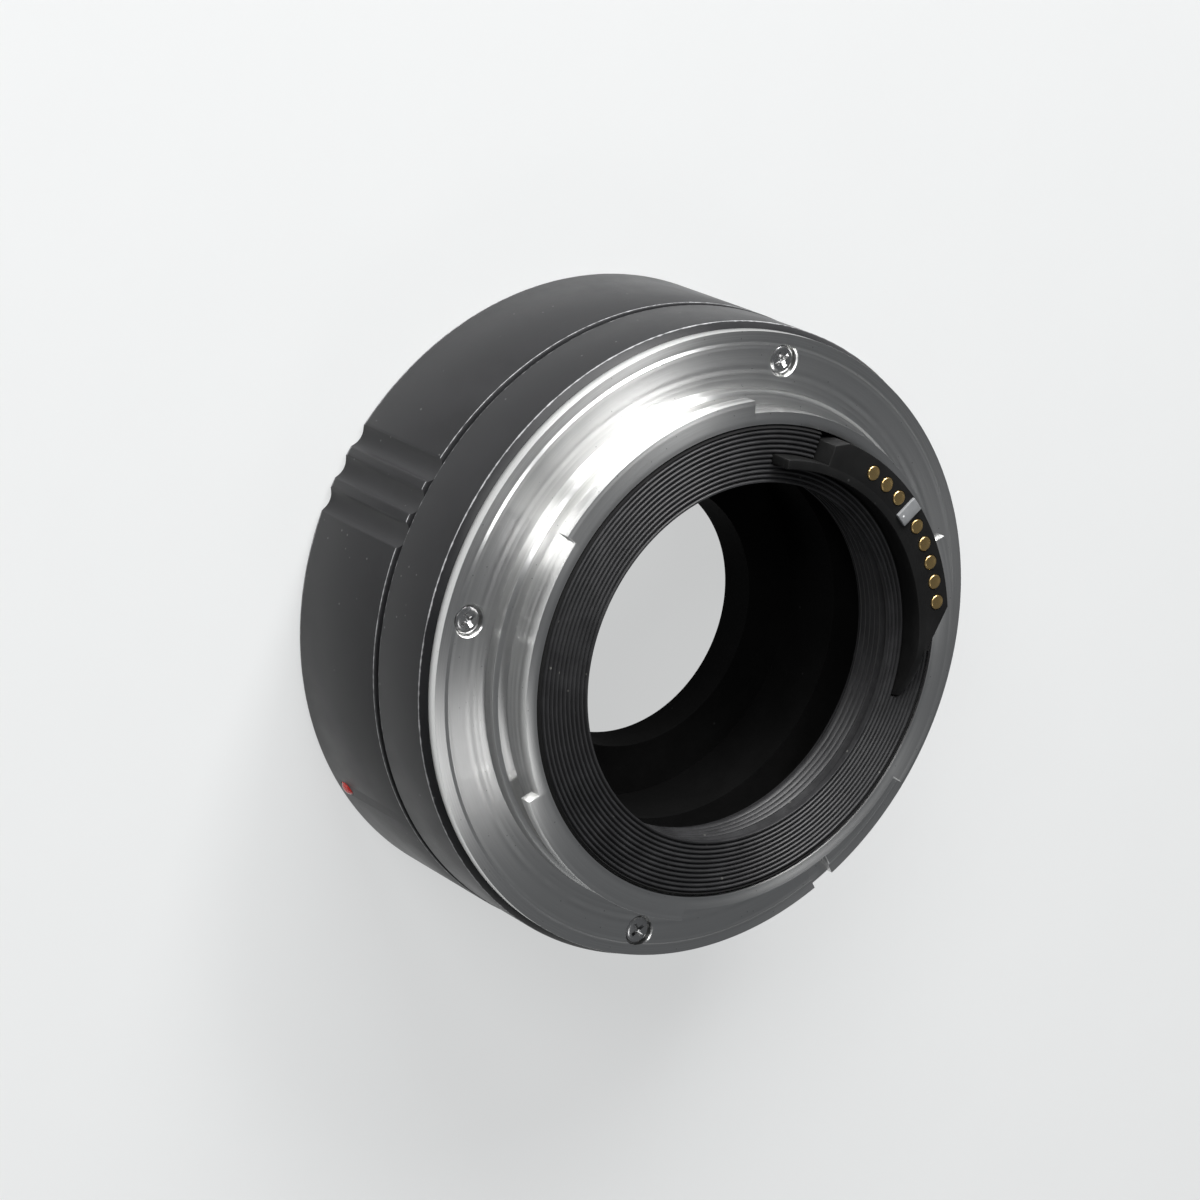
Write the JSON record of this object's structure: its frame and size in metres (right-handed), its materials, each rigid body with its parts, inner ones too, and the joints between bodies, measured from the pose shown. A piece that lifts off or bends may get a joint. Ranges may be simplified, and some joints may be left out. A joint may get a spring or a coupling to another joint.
{
  "type": "macro extension tube",
  "caption": "Hollow spacer ring between a camera and a lens, with a bayonet at each end, sprung contacts and a lens release slide.",
  "frame": {"origin": "centre of the lens seat face, on the optical axis, where the tube stands on its lens end", "axes": "+Z along the optical axis, from the lens side to the camera side; angles are measured from +X, seen from the camera side, with the lock pin at 314.4 degrees"},
  "size_m": [0.0664, 0.0664, 0.0331],
  "materials": {
    "mount_metal": "turned and polished, hard plated, with fine circular marks",
    "screw_steel": "bright nickelled screw head with a cross recess",
    "spring_steel": "rolled spring steel",
    "chassis_metal": "cast and turned, dull black anodised",
    "sleeve_black": "satin black anodised, fine bead-blasted grain",
    "barrel_black": "satin black anodised, turned",
    "index_red": "glossy red bead",
    "baffle_black": "satin black moulding with fine concentric ridges",
    "moulding_black": "satin black moulding",
    "key_grey": "satin grey moulding",
    "shield_black": "dead matt black",
    "cable_film": "amber film",
    "screw_black": "blackened steel",
    "contact_gold": "gold plated, rounded rim",
    "pin_steel": "ground steel",
    "slide_black": "satin black, ribbed"
  },
  "bodies": {
    "tube": {"rear_mount": "mount_metal", "rear_mount_screws": "screw_steel", "front_mount": "mount_metal", "front_mount_screws": "screw_steel", "mount_springs": "spring_steel", "chassis": "chassis_metal", "front_sleeve": "sleeve_black", "rear_barrel": "barrel_black", "lens_index_dot": "index_red", "camera_index_dot": "index_red", "rear_baffle": "baffle_black", "rear_contact_block": "moulding_black", "contact_key": "key_grey", "light_shield": "shield_black", "front_contact_block": "moulding_black", "contact_cable": "cable_film", "shield_screws": "screw_black", "front_block_screws": "screw_black", "lock_spring": "spring_steel", "rear_contact_1": "contact_gold", "front_contact_spring_1": "spring_steel", "rear_contact_2": "contact_gold", "front_contact_spring_2": "spring_steel", "rear_contact_3": "contact_gold", "front_contact_spring_3": "spring_steel", "rear_contact_4": "contact_gold", "front_contact_spring_4": "spring_steel", "rear_contact_5": "contact_gold", "front_contact_spring_5": "spring_steel", "rear_contact_6": "contact_gold", "front_contact_spring_6": "spring_steel", "rear_contact_7": "contact_gold", "front_contact_spring_7": "spring_steel", "rear_contact_8": "contact_gold", "front_contact_spring_8": "spring_steel"},
    "contact_pin_1": {"front_contact_pin_1": "contact_gold"},
    "contact_pin_2": {"front_contact_pin_2": "contact_gold"},
    "contact_pin_3": {"front_contact_pin_3": "contact_gold"},
    "contact_pin_4": {"front_contact_pin_4": "contact_gold"},
    "contact_pin_5": {"front_contact_pin_5": "contact_gold"},
    "contact_pin_6": {"front_contact_pin_6": "contact_gold"},
    "contact_pin_7": {"front_contact_pin_7": "contact_gold"},
    "contact_pin_8": {"front_contact_pin_8": "contact_gold"},
    "release": {"lock_pin": "pin_steel", "release_yoke": "pin_steel", "release_slide": "slide_black"}
  },
  "joints": [
    {"name": "contact_pin_1_press", "type": "slide", "parent": "tube", "child": "contact_pin_1", "axis": [0, 0, 1], "range_m": [0, 0.0012], "stiffness_N_per_m": 400, "springref_m": -0.0005, "deforming": ["front_contact_spring_1"]},
    {"name": "contact_pin_2_press", "type": "slide", "parent": "tube", "child": "contact_pin_2", "axis": [0, 0, 1], "range_m": [0, 0.0012], "stiffness_N_per_m": 400, "springref_m": -0.0005, "deforming": ["front_contact_spring_2"]},
    {"name": "contact_pin_3_press", "type": "slide", "parent": "tube", "child": "contact_pin_3", "axis": [0, 0, 1], "range_m": [0, 0.0012], "stiffness_N_per_m": 400, "springref_m": -0.0005, "deforming": ["front_contact_spring_3"]},
    {"name": "contact_pin_4_press", "type": "slide", "parent": "tube", "child": "contact_pin_4", "axis": [0, 0, 1], "range_m": [0, 0.0012], "stiffness_N_per_m": 400, "springref_m": -0.0005, "deforming": ["front_contact_spring_4"]},
    {"name": "contact_pin_5_press", "type": "slide", "parent": "tube", "child": "contact_pin_5", "axis": [0, 0, 1], "range_m": [0, 0.0012], "stiffness_N_per_m": 400, "springref_m": -0.0005, "deforming": ["front_contact_spring_5"]},
    {"name": "contact_pin_6_press", "type": "slide", "parent": "tube", "child": "contact_pin_6", "axis": [0, 0, 1], "range_m": [0, 0.0012], "stiffness_N_per_m": 400, "springref_m": -0.0005, "deforming": ["front_contact_spring_6"]},
    {"name": "contact_pin_7_press", "type": "slide", "parent": "tube", "child": "contact_pin_7", "axis": [0, 0, 1], "range_m": [0, 0.0012], "stiffness_N_per_m": 400, "springref_m": -0.0005, "deforming": ["front_contact_spring_7"]},
    {"name": "contact_pin_8_press", "type": "slide", "parent": "tube", "child": "contact_pin_8", "axis": [0, 0, 1], "range_m": [0, 0.0012], "stiffness_N_per_m": 400, "springref_m": -0.0005, "deforming": ["front_contact_spring_8"]},
    {"name": "lens_release_slide", "type": "slide", "parent": "tube", "child": "release", "axis": [0, 0, 1], "range_m": [-0.0016, 0.0003], "stiffness_N_per_m": 80, "springref_m": -0.002, "deforming": ["lock_spring"]}
  ]
}
